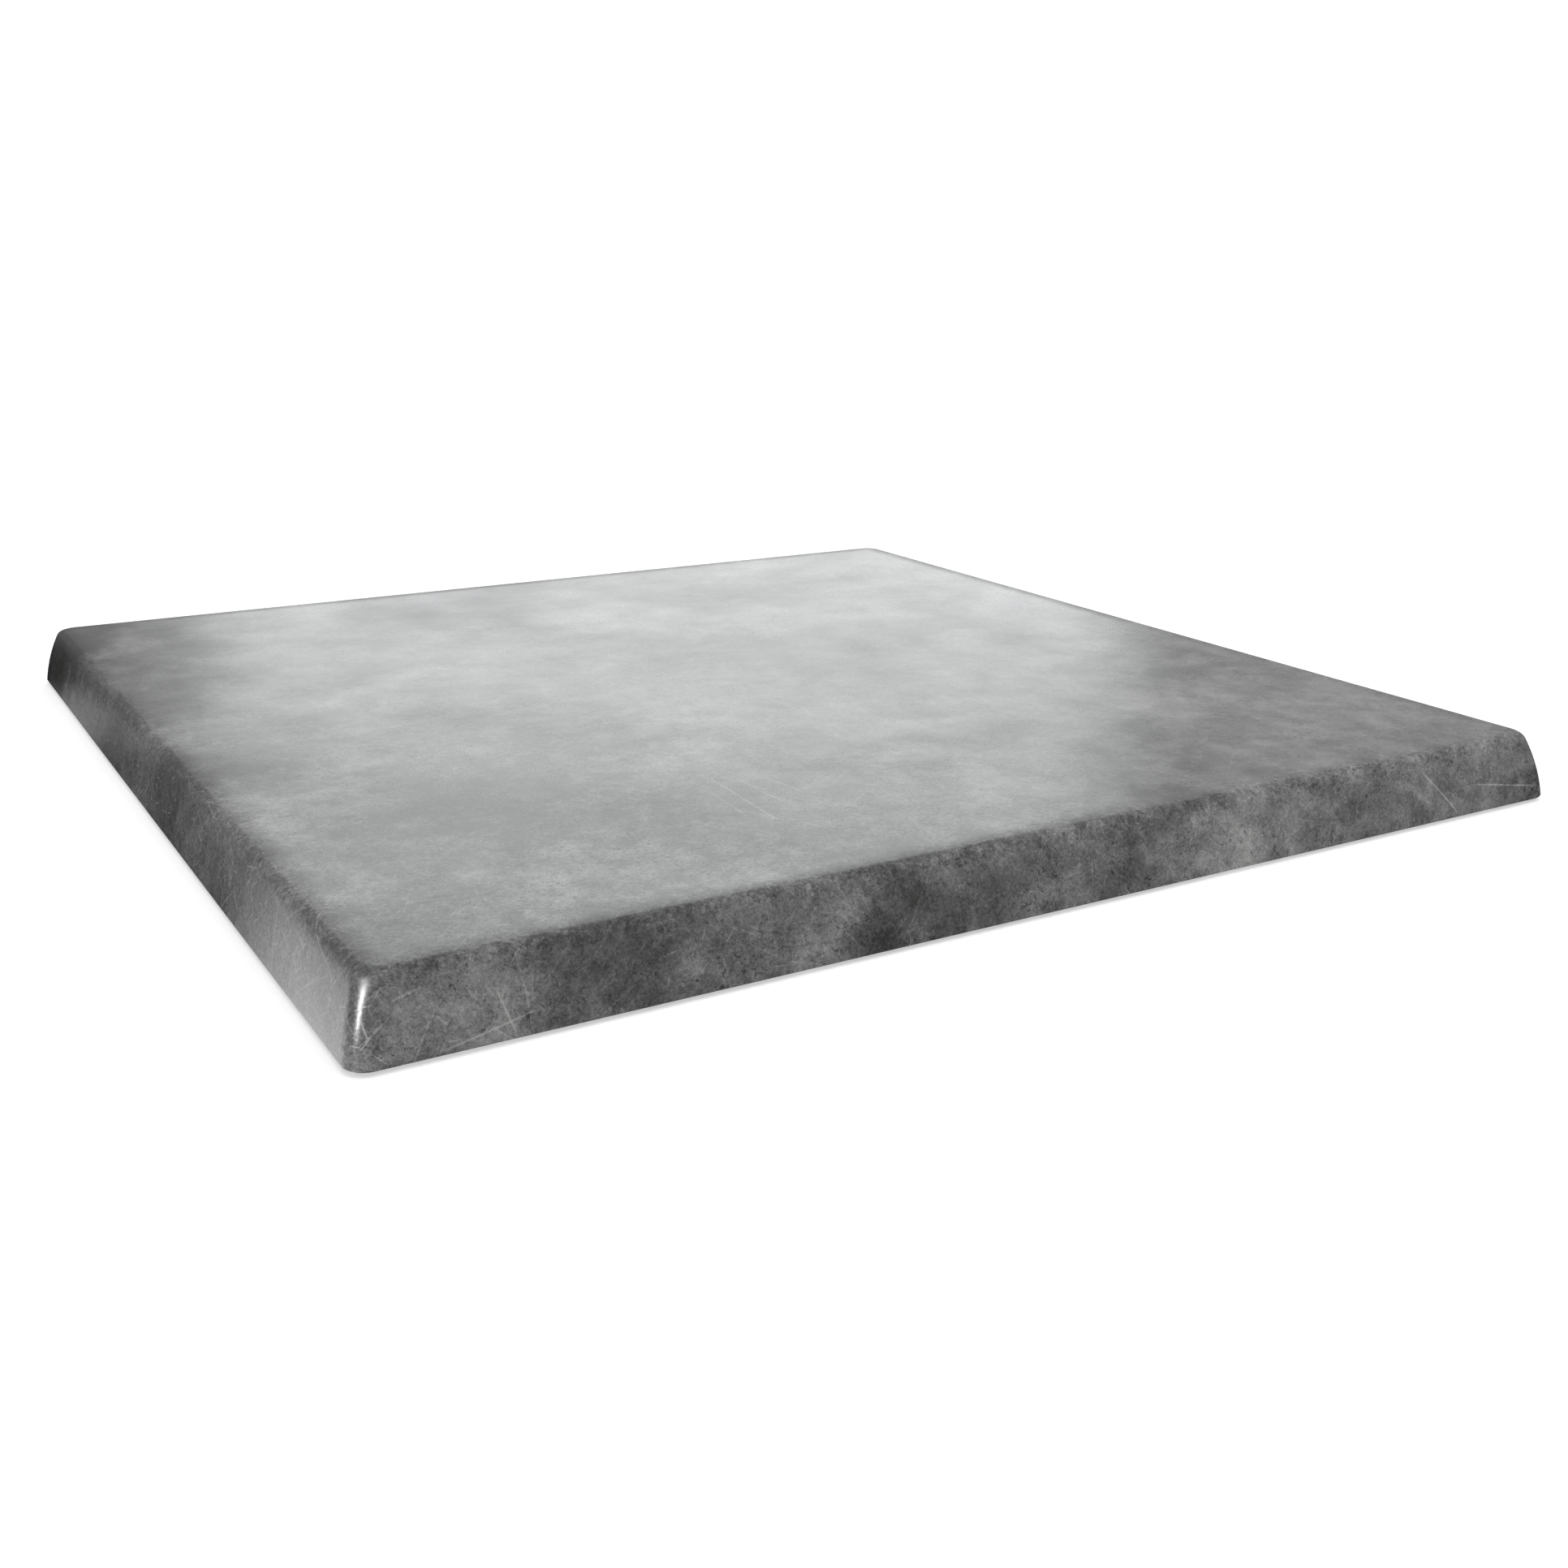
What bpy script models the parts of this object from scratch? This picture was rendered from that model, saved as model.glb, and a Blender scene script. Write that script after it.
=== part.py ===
"""Moulded stone-look table top slab: a square board with a deep, leaning, rounded edge.

A core of wood chips and resin is pressed between a printed decor sheet, which wraps the top
and the edge, and a dark balancing film, which lines the recessed underside. Four brass inserts
take the screws of a table base, and four elastomer pads stand proud of the lip at its corners.
The origin is the centre of the footprint at floor level, with the worktop facing +Z.
"""

from math import cos, pi, radians, sin, sqrt, tan

import bmesh
import bpy

# Overall size of the board, without the pads it stands on.
SLAB_WIDTH = 0.600          # along X
SLAB_DEPTH = 0.600          # along Y
EDGE_HEIGHT = 0.0320        # from the lip's underside to the worktop

# Section of the outer edge.
CORNER_RADIUS = 0.0085      # plan corner, the same at every height
UNDER_ROLL = 0.0012         # roll under the edge
TOP_ROLL = 0.0050           # roll from the side to the worktop
FOOT_LEAN = radians(7.5)    # how far the side leans from upright where it leaves the under roll
HEAD_LEAN = radians(23.0)   # how far it leans where it meets the top roll

# Skins, and the bond line that parts them from the core.
SHEET_THICKNESS = 0.0008
SHEET_LAP = 0.008           # flat turn of the decor sheet under the lip
FILM_THICKNESS = 0.0005
FILM_LAP = 0.010            # flat turn of the backing film on the lip
BOND_LINE = 0.0003

# Underside: lip, recessed field and the raised seat for a table base.
LIP_WIDTH = 0.028           # from the widest outline to the lip's inner roll
LIP_ROLL = 0.003
LIP_DRAFT = radians(20.0)
ROOT_ROLL = 0.006
INNER_CORNER = 0.040
FIELD_THICKNESS = 0.017
SEAT_WIDTH = 0.340
SEAT_CORNER = 0.030
SEAT_RISE = 0.004
SEAT_ROLL = 0.0015
SEAT_DRAFT = radians(45.0)

# Brass inserts in blind bores.
INSERT_PITCH = 0.280        # centre to centre, along X and along Y
INSERT_DIAMETER = 0.012
INSERT_LENGTH = 0.013
THREAD_BORE = 0.0068        # core diameter of an M8 thread
FLANGE_DIAMETER = 0.016
FLANGE_THICKNESS = 0.0012
FLANGE_SINK = 0.0003        # how far the flange lies below the film
THREAD_LEAD = 0.0006        # bevel at the thread's mouth
TIP_TAPER = 0.0010          # bevel at the insert's inner end
SCREW_ROOM = 0.0025         # free depth past the insert

# Elastomer pads in shallow seats at the lip's corners.
PAD_DIAMETER = 0.016
PAD_STAND = 0.0015          # how far a pad stands proud of the lip
PAD_SEAT_DEPTH = 0.002
PAD_EDGE = 0.0004

# Fineness of the rounded shapes.
CORNER_STEPS = 6
ROLL_STEPS = 4
SIDE_STEPS = 5
TURN_STEPS = 24
OVERSHOOT = 0.001           # how far a cutter runs out past the face it opens

LIP_Z = PAD_STAND
WORKTOP_Z = LIP_Z + EDGE_HEIGHT
FIELD_Z = WORKTOP_Z - FIELD_THICKNESS
SEAT_Z = FIELD_Z - SEAT_RISE
SHEET_DEPTH = SHEET_THICKNESS + BOND_LINE
FILM_DEPTH = FILM_THICKNESS + BOND_LINE
CORNER_NAMES = {
    "front_left": (-1, -1),
    "front_right": (1, -1),
    "back_left": (-1, 1),
    "back_right": (1, 1),
}


def clear_scene():
    """Remove every object the file opened with."""
    for item in list(bpy.data.objects):
        bpy.data.objects.remove(item, do_unlink=True)


def make_material(name, colour, roughness, metallic=0.0):
    """Principled material with one colour, roughness and metallic value."""
    material = bpy.data.materials.new(name)
    material.use_nodes = True
    shader = material.node_tree.nodes["Principled BSDF"]
    shader.inputs["Base Color"].default_value = (*colour, 1.0)
    shader.inputs["Roughness"].default_value = roughness
    shader.inputs["Metallic"].default_value = metallic
    return material


def make_object(name, mesh_data, material):
    """Close a bmesh into a named, outward-facing, smoothly shaded object."""
    bmesh.ops.recalc_face_normals(mesh_data, faces=mesh_data.faces)
    mesh = bpy.data.meshes.new(name)
    mesh_data.to_mesh(mesh)
    mesh_data.free()
    mesh.shade_smooth()
    mesh.set_sharp_from_angle(angle=radians(35.0))
    mesh.materials.append(material)
    item = bpy.data.objects.new(name, mesh)
    bpy.context.scene.collection.objects.link(item)
    return item


# A section is a list of (run, z, tilt). Run is measured along the board, z upwards, and tilt
# turns the surface's normal from straight down (0) over facing along the run (90 degrees)
# to straight up (180 degrees).

def roll(run, z, radius, start, stop, steps):
    """Arc of a section about a centre; a negative radius makes a hollow roll."""
    points = []
    for step in range(steps + 1):
        tilt = start + (stop - start) * step / steps
        points.append((run + radius * sin(tilt), z - radius * cos(tilt), tilt))
    return points


def sunk(section, depth):
    """The same section, moved into the material by a depth, square to its surface."""
    return [(run - depth * sin(tilt), z + depth * cos(tilt), tilt) for run, z, tilt in section]


def edge_section():
    """Outer edge from the decor sheet's cut under the lip to the worktop; run points outwards."""
    foot = pi / 2 + FOOT_LEAN
    head = pi / 2 + HEAD_LEAN
    roll_heights = UNDER_ROLL * (1 + sin(FOOT_LEAN)) + TOP_ROLL * (1 - sin(HEAD_LEAN))
    side_radius = (EDGE_HEIGHT - roll_heights) / (sin(HEAD_LEAN) - sin(FOOT_LEAN))
    side_run = -UNDER_ROLL + (UNDER_ROLL - side_radius) * cos(FOOT_LEAN)
    side_z = LIP_Z + UNDER_ROLL + (UNDER_ROLL - side_radius) * sin(FOOT_LEAN)
    top_run = side_run + (side_radius - TOP_ROLL) * cos(HEAD_LEAN)
    top_z = side_z + (side_radius - TOP_ROLL) * sin(HEAD_LEAN)
    lap = [(-UNDER_ROLL - SHEET_LAP, LIP_Z, 0.0)]
    under = roll(-UNDER_ROLL, LIP_Z + UNDER_ROLL, UNDER_ROLL, 0.0, foot, ROLL_STEPS)
    side = roll(side_run, side_z, side_radius, foot, head, SIDE_STEPS)
    over = roll(top_run, top_z, TOP_ROLL, head, pi, ROLL_STEPS)
    return lap + under + side[1:] + over[1:]


def step_section(low_z, high_z, draft, edge_roll, root_roll):
    """Rounded step from a low flat up to a high flat, with a drafted wall between them."""
    wall = pi / 2 - draft
    edge = roll(0.0, low_z + edge_roll, edge_roll, 0.0, wall, ROLL_STEPS)
    root = roll(0.0, high_z - root_roll, -root_roll, wall, 0.0, ROLL_STEPS)
    wall_rise = root[0][1] - edge[-1][1]
    shift = edge[-1][0] + wall_rise * tan(draft) - root[0][0]
    return edge + [(run + shift, z, tilt) for run, z, tilt in root]


def lip_section():
    """Inner side of the lip, from the film's cut to the field; run points to the centre."""
    lap = [(-FILM_LAP, LIP_Z, 0.0)]
    return lap + step_section(LIP_Z, FIELD_Z, LIP_DRAFT, LIP_ROLL, ROOT_ROLL)


def seat_section():
    """Side of the raised seat, from its flat up to the field; run points outwards."""
    return step_section(SEAT_Z, FIELD_Z, SEAT_DRAFT, SEAT_ROLL, SEAT_ROLL)


# A ring is (half width, half depth, corner radius, z) of a rounded rectangle.

def edge_ring(run, z, sink=0.0):
    """Ring of the outer edge, drawn in by a sink that also tightens its corners."""
    drawn = run - sink
    return (SLAB_WIDTH / 2 + drawn, SLAB_DEPTH / 2 + drawn, CORNER_RADIUS - sink, z)


def edge_rings(depth):
    """Rings of the outer edge, moved into the material by a depth, square to its surface."""
    section = edge_section()
    return [edge_ring(run, z + depth * cos(tilt), depth * sin(tilt)) for run, z, tilt in section]


def lip_ring(run, z):
    """Ring of the lip's inner side."""
    inset = LIP_WIDTH + run
    return (SLAB_WIDTH / 2 - inset, SLAB_DEPTH / 2 - inset, INNER_CORNER - run, z)


def seat_ring(run, z):
    """Ring of the seat's side."""
    half = SEAT_WIDTH / 2 + run
    return (half, half, SEAT_CORNER + run, z)


def rings(section, ring):
    """Every point of a section as a ring."""
    return [ring(run, z) for run, z, tilt in section]


def outline(half_x, half_y, radius, z):
    """Points of a rounded rectangle, anticlockwise from the +X side."""
    points = []
    for quarter, (side_x, side_y) in enumerate(((1, 1), (-1, 1), (-1, -1), (1, -1))):
        for step in range(CORNER_STEPS + 1):
            angle = (quarter + step / CORNER_STEPS) * pi / 2
            x = side_x * (half_x - radius) + radius * cos(angle)
            y = side_y * (half_y - radius) + radius * sin(angle)
            points.append((x, y, z))
    return points


def bridge(mesh_data, lower, upper):
    """Band of faces between two loops of as many vertices."""
    for index, vertex in enumerate(lower):
        following = (index + 1) % len(lower)
        mesh_data.faces.new((vertex, lower[following], upper[following], upper[index]))


def loft(name, ring_list, material):
    """Closed body through a list of rings, with a flat face on its first and last ring."""
    mesh_data = bmesh.new()
    loops = [[mesh_data.verts.new(point) for point in outline(*ring)] for ring in ring_list]
    for lower, upper in zip(loops, loops[1:]):
        bridge(mesh_data, lower, upper)
    mesh_data.faces.new(loops[0])
    mesh_data.faces.new(loops[-1])
    return make_object(name, mesh_data, material)


def turn(mesh_data, profile, place):
    """Add an open turned body to a bmesh; the profile lists (radius, z) from end to end."""
    loops = []
    for radius, z in profile:
        loop = []
        for step in range(TURN_STEPS):
            angle = 2 * pi * step / TURN_STEPS
            point = (place[0] + radius * cos(angle), place[1] + radius * sin(angle), z)
            loop.append(mesh_data.verts.new(point))
        loops.append(loop)
    for lower, upper in zip(loops, loops[1:]):
        bridge(mesh_data, lower, upper)
    return loops


def turn_solid(mesh_data, profile, place):
    """Turned body with flat ends."""
    loops = turn(mesh_data, profile, place)
    mesh_data.faces.new(loops[0])
    mesh_data.faces.new(loops[-1])


def insert_places():
    """Centre of each insert on the seat."""
    half = INSERT_PITCH / 2
    return {name: (x * half, y * half) for name, (x, y) in CORNER_NAMES.items()}


def pad_places():
    """Centre of each pad, midway along the lip's diagonal at each corner."""
    outer = CORNER_RADIUS * (1 - sqrt(0.5))
    inner = LIP_WIDTH + INNER_CORNER * (1 - sqrt(0.5))
    inset = (outer + inner) / 2
    half_x = SLAB_WIDTH / 2 - inset
    half_y = SLAB_DEPTH / 2 - inset
    return {name: (x * half_x, y * half_y) for name, (x, y) in CORNER_NAMES.items()}


def cut(target, name, profile, places):
    """Cut the same turned shape out of an object at several places."""
    mesh_data = bmesh.new()
    for place in places.values():
        turn_solid(mesh_data, profile, place)
    cutter = make_object(name, mesh_data, target.data.materials[0])
    cutter.hide_render = True
    cutter.display_type = "WIRE"
    modifier = target.modifiers.new(name, "BOOLEAN")
    modifier.operation = "DIFFERENCE"
    modifier.solver = "EXACT"
    modifier.object = cutter


def make_decor_sheet(material):
    """Printed sheet over the worktop, the rolls and the side, turned in under the lip."""
    loft("decor_sheet", edge_rings(0.0)[::-1] + edge_rings(SHEET_THICKNESS), material)


def make_backing_film(material):
    """Film that lines the lip's inner side, the field and the seat, with a hole per insert."""
    def layer(depth):
        seat = rings(sunk(seat_section(), depth), seat_ring)
        return seat + rings(sunk(lip_section(), depth), lip_ring)[::-1]

    film = loft("backing_film", layer(0.0) + layer(FILM_THICKNESS)[::-1], material)
    radius = FLANGE_DIAMETER / 2 + BOND_LINE
    profile = [(radius, SEAT_Z - OVERSHOOT), (radius, SEAT_Z + FILM_DEPTH)]
    cut(film, "film_hole_cutter", profile, insert_places())


def make_core_board(material):
    """Pressed core, rebated for both skins, with blind bores and pad seats."""
    sheet_cut = -UNDER_ROLL - SHEET_LAP - BOND_LINE
    sheet_rebate = [edge_ring(sheet_cut, LIP_Z + SHEET_DEPTH), edge_ring(sheet_cut, LIP_Z)]
    film_cut = -FILM_LAP - BOND_LINE
    film_rebate = [lip_ring(film_cut, LIP_Z), lip_ring(film_cut, LIP_Z + FILM_DEPTH)]
    lip = rings(sunk(lip_section(), FILM_DEPTH), lip_ring)
    seat = rings(sunk(seat_section(), FILM_DEPTH), seat_ring)[::-1]
    rebates = sheet_rebate + film_rebate
    core = loft("core_board", edge_rings(SHEET_DEPTH)[::-1] + rebates + lip + seat, material)

    flange_radius = FLANGE_DIAMETER / 2 + BOND_LINE
    bore_radius = INSERT_DIAMETER / 2 + BOND_LINE
    flange_floor = SEAT_Z + FLANGE_SINK + FLANGE_THICKNESS + BOND_LINE
    bore_end = SEAT_Z + FLANGE_SINK + INSERT_LENGTH + SCREW_ROOM
    bore = [
        (flange_radius, SEAT_Z - OVERSHOOT),
        (flange_radius, flange_floor),
        (bore_radius, flange_floor),
        (bore_radius, bore_end),
    ]
    cut(core, "insert_bore_cutter", bore, insert_places())

    seat_radius = PAD_DIAMETER / 2 + BOND_LINE
    pad_seat = [(seat_radius, LIP_Z - OVERSHOOT), (seat_radius, LIP_Z + PAD_SEAT_DEPTH)]
    cut(core, "pad_seat_cutter", pad_seat, pad_places())


def make_inserts(material):
    """Flanged brass sockets with a lead-in at the thread's mouth and a tapered tip."""
    foot = SEAT_Z + FLANGE_SINK
    top = foot + INSERT_LENGTH
    bore = THREAD_BORE / 2
    barrel = INSERT_DIAMETER / 2
    flange = FLANGE_DIAMETER / 2
    profile = [
        (bore, top),
        (bore, foot + THREAD_LEAD),
        (bore + THREAD_LEAD, foot),
        (flange, foot),
        (flange, foot + FLANGE_THICKNESS),
        (barrel, foot + FLANGE_THICKNESS),
        (barrel, top - TIP_TAPER),
        (barrel - TIP_TAPER, top),
    ]
    for name, place in insert_places().items():
        mesh_data = bmesh.new()
        loops = turn(mesh_data, profile, place)
        bridge(mesh_data, loops[-1], loops[0])
        make_object("threaded_insert_" + name, mesh_data, material)


def make_pads(material):
    """Round pads with a softened foot, seated in the lip."""
    radius = PAD_DIAMETER / 2
    top = LIP_Z + PAD_SEAT_DEPTH - BOND_LINE
    profile = [(radius - PAD_EDGE, 0.0), (radius, PAD_EDGE), (radius, top)]
    for name, place in pad_places().items():
        mesh_data = bmesh.new()
        turn_solid(mesh_data, profile, place)
        make_object("stacking_pad_" + name, mesh_data, material)


clear_scene()
make_decor_sheet(make_material("stone_decor", (0.155, 0.160, 0.160), 0.36))
make_core_board(make_material("pressed_wood_core", (0.150, 0.092, 0.052), 0.72))
make_backing_film(make_material("backing_film", (0.045, 0.046, 0.048), 0.55))
make_inserts(make_material("insert_brass", (0.640, 0.455, 0.205), 0.32, 1.0))
make_pads(make_material("pad_elastomer", (0.028, 0.028, 0.030), 0.78))
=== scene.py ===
# %% [markdown]
# # A moulded table top with a worn-stone decor
# The real object is a square slab, pressed hot in a steel mould from wood chips and resin. A
# printed, resin-soaked sheet gives the top and the leaning sides their stone look, a dark film
# lines the recessed underside, and brass sockets and small elastomer pads sit underneath.
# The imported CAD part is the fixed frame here. It could be shown as it is, but its round edges
# are coarse, so each skin and fitting gets a finer piece that fills the same place.

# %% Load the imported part
from math import cos, pi, radians, sin, tan

import bmesh
import bpy
from mathutils import Matrix, Vector


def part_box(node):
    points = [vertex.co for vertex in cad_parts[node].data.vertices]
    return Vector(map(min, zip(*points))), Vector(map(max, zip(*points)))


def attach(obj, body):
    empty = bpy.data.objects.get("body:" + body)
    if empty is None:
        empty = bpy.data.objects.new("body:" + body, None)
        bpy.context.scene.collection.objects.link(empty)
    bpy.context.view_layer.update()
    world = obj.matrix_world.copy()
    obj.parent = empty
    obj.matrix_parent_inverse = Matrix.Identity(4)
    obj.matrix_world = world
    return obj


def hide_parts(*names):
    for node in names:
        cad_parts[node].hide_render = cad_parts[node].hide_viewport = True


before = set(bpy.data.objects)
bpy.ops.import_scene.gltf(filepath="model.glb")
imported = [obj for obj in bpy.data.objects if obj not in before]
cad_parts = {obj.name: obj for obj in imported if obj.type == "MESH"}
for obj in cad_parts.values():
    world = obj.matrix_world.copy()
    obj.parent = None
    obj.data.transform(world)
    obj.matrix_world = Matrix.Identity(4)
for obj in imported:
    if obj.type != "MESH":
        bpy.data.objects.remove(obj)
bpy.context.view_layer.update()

MM = 0.001
CORNERS = ("front_left", "front_right", "back_left", "back_right")

# %% [markdown]
# ## Working by hand, in code
# Every operator acts on whatever is selected, and the CAD nodes arrive selected. So each piece
# starts with nothing selected, and faces are then picked by a rule about their place or normal.
# A finished piece has its place in its mesh and its object at the origin, as the CAD nodes have.


# %% Helpers for selecting and finishing
def to_object_mode():
    """Leave edit mode and deselect everything."""
    if bpy.context.mode != "OBJECT":
        bpy.ops.object.mode_set(mode="OBJECT")
    bpy.ops.object.select_all(action="DESELECT")


def make_active(piece):
    """Make one piece the only selected and active object."""
    to_object_mode()
    piece.select_set(True)
    bpy.context.view_layer.objects.active = piece


def pick_faces(piece, wanted):
    """In edit mode, select exactly the faces for which wanted(face) holds."""
    bpy.ops.mesh.select_mode(type="FACE")
    bpy.ops.mesh.select_all(action="DESELECT")
    mesh = bmesh.from_edit_mesh(piece.data)
    for face in mesh.faces:
        face.select_set(wanted(face))
    bmesh.update_edit_mesh(piece.data)


def pick_edges(piece, wanted):
    """In edit mode, select exactly the edges for which wanted(edge) holds."""
    bpy.ops.mesh.select_mode(type="EDGE")
    bpy.ops.mesh.select_all(action="DESELECT")
    mesh = bmesh.from_edit_mesh(piece.data)
    for edge in mesh.edges:
        edge.select_set(wanted(edge))
    bmesh.update_edit_mesh(piece.data)


def face_outwards():
    """In edit mode, select everything and turn its normals outwards."""
    bpy.ops.mesh.select_all(action="SELECT")
    bpy.ops.mesh.normals_make_consistent(inside=False)


def add_modifier(piece, kind, **settings):
    """Add a modifier with its settings and apply it."""
    make_active(piece)
    bpy.ops.object.modifier_add(type=kind)
    modifier = piece.modifiers[-1]
    for name, value in settings.items():
        setattr(modifier, name, value)
    bpy.ops.object.modifier_apply(modifier=modifier.name)


def place_in_mesh(piece):
    """Move the object's own place, turn and scale into its mesh."""
    make_active(piece)
    bpy.ops.object.transform_apply(location=True, rotation=True, scale=True)


def finish_piece(piece, nodes, sharp_degrees=35.0):
    """Shade a piece, seat it on the frame in place of its CAD nodes, and say how many triangles it
    has.
    """
    place_in_mesh(piece)
    bpy.ops.object.shade_smooth_by_angle(angle=radians(sharp_degrees))
    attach(piece, "root")
    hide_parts(*nodes)
    faces = sum(len(face.vertices) - 2 for face in piece.data.polygons)
    print(piece.name, "stands for", nodes, "with", faces, "triangles")


# %% [markdown]
# ## The section of the edge
# The real edge comes out of a steel mould: an almost sharp edge underneath, a side that leans
# in more and more as it rises, and a roll into the worktop. One could bevel a box, but no single
# bevel has this shape. So the section is worked out as a row of points, which later become
# steps of an extrusion. Heights come from the CAD boxes; rolls and lean are the part's own sizes.

# %% Sizes of the edge, in metres
sheet_low, sheet_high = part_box("decor_sheet")
HALF_SIDE = sheet_high.x
LIP_Z = sheet_low.z
WORKTOP_Z = sheet_high.z
EDGE_HEIGHT = WORKTOP_Z - LIP_Z
CORNER_RADIUS = 8.5 * MM
UNDER_ROLL = 1.2 * MM
TOP_ROLL = 5 * MM
FOOT_LEAN = radians(7.5)
HEAD_LEAN = radians(23)
SHEET_THICKNESS = 0.8 * MM
SHEET_LAP = 8 * MM
CORNER_STEPS = 14
ROLL_STEPS = 8
SIDE_STEPS = 12
FLAT_BAND = 3 * MM  # flat ring beside a roll, so that its shading doesn't run into the flat
SAME_HEIGHT = 0.01 * MM  # heights closer than this are one height


def roll(run, z, radius, start, stop, steps):
    """Arc of a section, as (run, z); the angle is the normal's, from straight down."""
    points = []
    for step in range(steps + 1):
        tilt = start + (stop - start) * step / steps
        points.append((run + radius * sin(tilt), z - radius * cos(tilt)))
    return points


upright = pi / 2
foot = upright + FOOT_LEAN
head = upright + HEAD_LEAN
roll_heights = UNDER_ROLL * (1 + sin(FOOT_LEAN)) + TOP_ROLL * (1 - sin(HEAD_LEAN))
side_radius = (EDGE_HEIGHT - roll_heights) / (sin(HEAD_LEAN) - sin(FOOT_LEAN))
widest_z = LIP_Z + UNDER_ROLL
side_run = -UNDER_ROLL + (UNDER_ROLL - side_radius) * cos(FOOT_LEAN)
side_z = widest_z + (UNDER_ROLL - side_radius) * sin(FOOT_LEAN)
top_run = side_run + (side_radius - TOP_ROLL) * cos(HEAD_LEAN)
top_z = side_z + (side_radius - TOP_ROLL) * sin(HEAD_LEAN)
rising = roll(-UNDER_ROLL, widest_z, UNDER_ROLL, upright, foot, 2)
rising += roll(side_run, side_z, side_radius, foot, head, SIDE_STEPS)[1:]
rising += roll(top_run, top_z, TOP_ROLL, head, pi, ROLL_STEPS)[1:]
rising.append((rising[-1][0] - FLAT_BAND, WORKTOP_Z))
sinking = roll(-UNDER_ROLL, widest_z, UNDER_ROLL, upright, 0.0, ROLL_STEPS)
sinking.append((sinking[-1][0] - SHEET_LAP, LIP_Z))
print("side radius", round(side_radius / MM, 1), "mm, flat of the worktop",
      round(2 * (HALF_SIDE + rising[-2][0]) / MM, 1), "mm wide")

# %% [markdown]
# ## Growing a body from a face
# Many pieces here grow from one flat face: it is extruded a step, then scaled about the piece's
# middle to its next size, as one reads a section drawing from end to end. Spinning an outline
# gives the same round bodies, but leaves seams and poles to weld, and it can't turn a square.
# An extruded face leaves its first face behind, so the body stays closed.


# %% Grow along a profile
def grow(profile, centre=(0, 0)):
    """Extrude the selected end face along a profile of (half size, z), scaling it each step."""
    for (half, z), (next_half, next_z) in zip(profile, profile[1:]):
        bpy.ops.mesh.extrude_region_move(TRANSFORM_OT_translate={"value": (0, 0, next_z - z)})
        factor = next_half / half
        bpy.ops.transform.resize(
            value=(factor, factor, 1), center_override=(centre[0], centre[1], next_z)
        )


# %% [markdown]
# ## The decor sheet
# On the real top this is one printed sheet, pressed round the edge and turned in under the lip.
# It starts here as a plane at the widest outline, whose four corners are bevelled round. It
# grows up the side to the worktop; its first face then grows down round the under roll and in
# along the lip, and is removed at the sheet's cut. Solidify gives the sheet its real thickness,
# inwards. A bevelled box would look much the same from above, but underneath it would have
# neither the turned-in sheet nor its cut edge.


# %% Rounded squares
def rounded_square(name, half, corner, z):
    """Flat square face, facing up, with round corners; left in edit mode with it selected."""
    to_object_mode()
    bpy.ops.mesh.primitive_plane_add(size=2 * half, location=(0, 0, z))
    piece = bpy.context.active_object
    piece.name = name
    piece.data.name = name
    place_in_mesh(piece)
    bpy.ops.object.mode_set(mode="EDIT")
    bpy.ops.mesh.select_mode(type="VERT")
    bpy.ops.mesh.select_all(action="SELECT")
    bpy.ops.mesh.bevel(
        offset=corner, segments=CORNER_STEPS, profile=0.5, affect="VERTICES", clamp_overlap=False
    )
    pick_faces(piece, lambda face: True)
    return piece


# %% Press the decor sheet
decor_skin = rounded_square("stone_decor_sheet", HALF_SIDE, CORNER_RADIUS, widest_z)
grow([(HALF_SIDE + run, z) for run, z in rising])
pick_faces(decor_skin, lambda face: max(v.co.z for v in face.verts) < widest_z + SAME_HEIGHT)
grow([(HALF_SIDE + run, z) for run, z in sinking])
bpy.ops.mesh.delete(type="ONLY_FACE")
face_outwards()
add_modifier(
    decor_skin, "SOLIDIFY", thickness=SHEET_THICKNESS, offset=-1.0, use_even_offset=True
)
finish_piece(decor_skin, ["decor_sheet"])

# %% [markdown]
# ## The backing film
# The underside of the real slab is lined with a dark film, which balances the decor sheet so
# that the board stays flat. It starts on the lip, goes up the lip's drafted inner side to a
# recessed field, and comes down again over a low seat for the table base. Two rounded squares
# are shaped by inset steps, one from each side, and bridged across the field. Growing them as
# above would be quicker, but scaling shrinks round corners, where an inset keeps the steps even.

# %% Sizes of the underside, in metres
_, film_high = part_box("backing_film")
FILM_THICKNESS = 0.5 * MM
FILM_LAP = 10 * MM
LIP_ROLL = 3 * MM
LIP_DRAFT = radians(20)
ROOT_ROLL = 6 * MM
INNER_CORNER = 40 * MM
SEAT_HALF = 170 * MM
SEAT_CORNER = 30 * MM
SEAT_RISE = 4 * MM
SEAT_ROLL = 1.5 * MM
SEAT_DRAFT = radians(45)
FIELD_Z = film_high.z - FILM_THICKNESS
SEAT_Z = FIELD_Z - SEAT_RISE
LIP_HALF = film_high.x - FILM_LAP


def step_points(low_z, high_z, draft, edge_roll, root_roll):
    """Section of a rounded step from a low flat up to a high flat; run starts at 0."""
    wall = pi / 2 - draft
    edge = roll(0.0, low_z + edge_roll, edge_roll, 0.0, wall, ROLL_STEPS)
    root = roll(0.0, high_z - root_roll, -root_roll, wall, 0.0, ROLL_STEPS)
    shift = edge[-1][0] + (root[0][1] - edge[-1][1]) * tan(draft) - root[0][0]
    return edge + [(run + shift, z) for run, z in root]


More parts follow.
